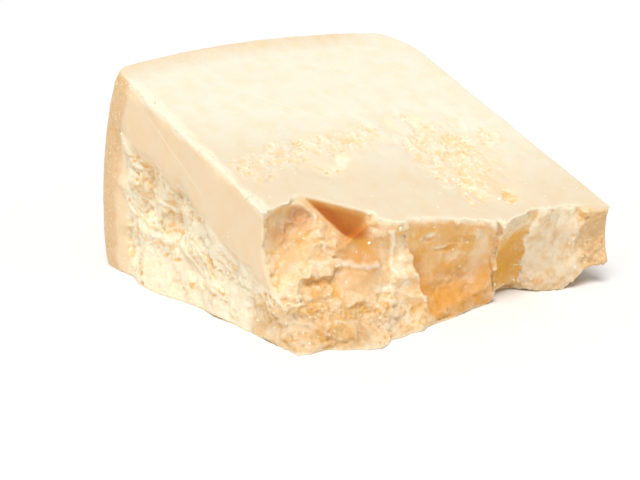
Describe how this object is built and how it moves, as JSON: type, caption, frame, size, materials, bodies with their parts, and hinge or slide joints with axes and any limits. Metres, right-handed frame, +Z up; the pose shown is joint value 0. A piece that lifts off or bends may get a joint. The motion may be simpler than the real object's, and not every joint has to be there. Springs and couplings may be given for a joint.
{
  "type": "parmesan chunk",
  "caption": "Wedge-shaped chunk of hard aged grating cheese, resting on a radial cut, with rind on its back and one end and a craggy broken front.",
  "frame": {"origin": "on the ground, under the middle of the chunk's bounding box", "axes": "+Z up, +Y towards the tall rounded rind side, -Y towards the broken front, +X towards the end with the wheel's flat rind face"},
  "size_m": [0.1474, 0.1524, 0.0873],
  "materials": {
    "cheese": "pale straw hard cheese, smooth and slightly waxy where sliced, granular where broken, with a tan rind"
  },
  "bodies": {
    "root": {"parmesan_chunk": "cheese"}
  },
  "joints": []
}
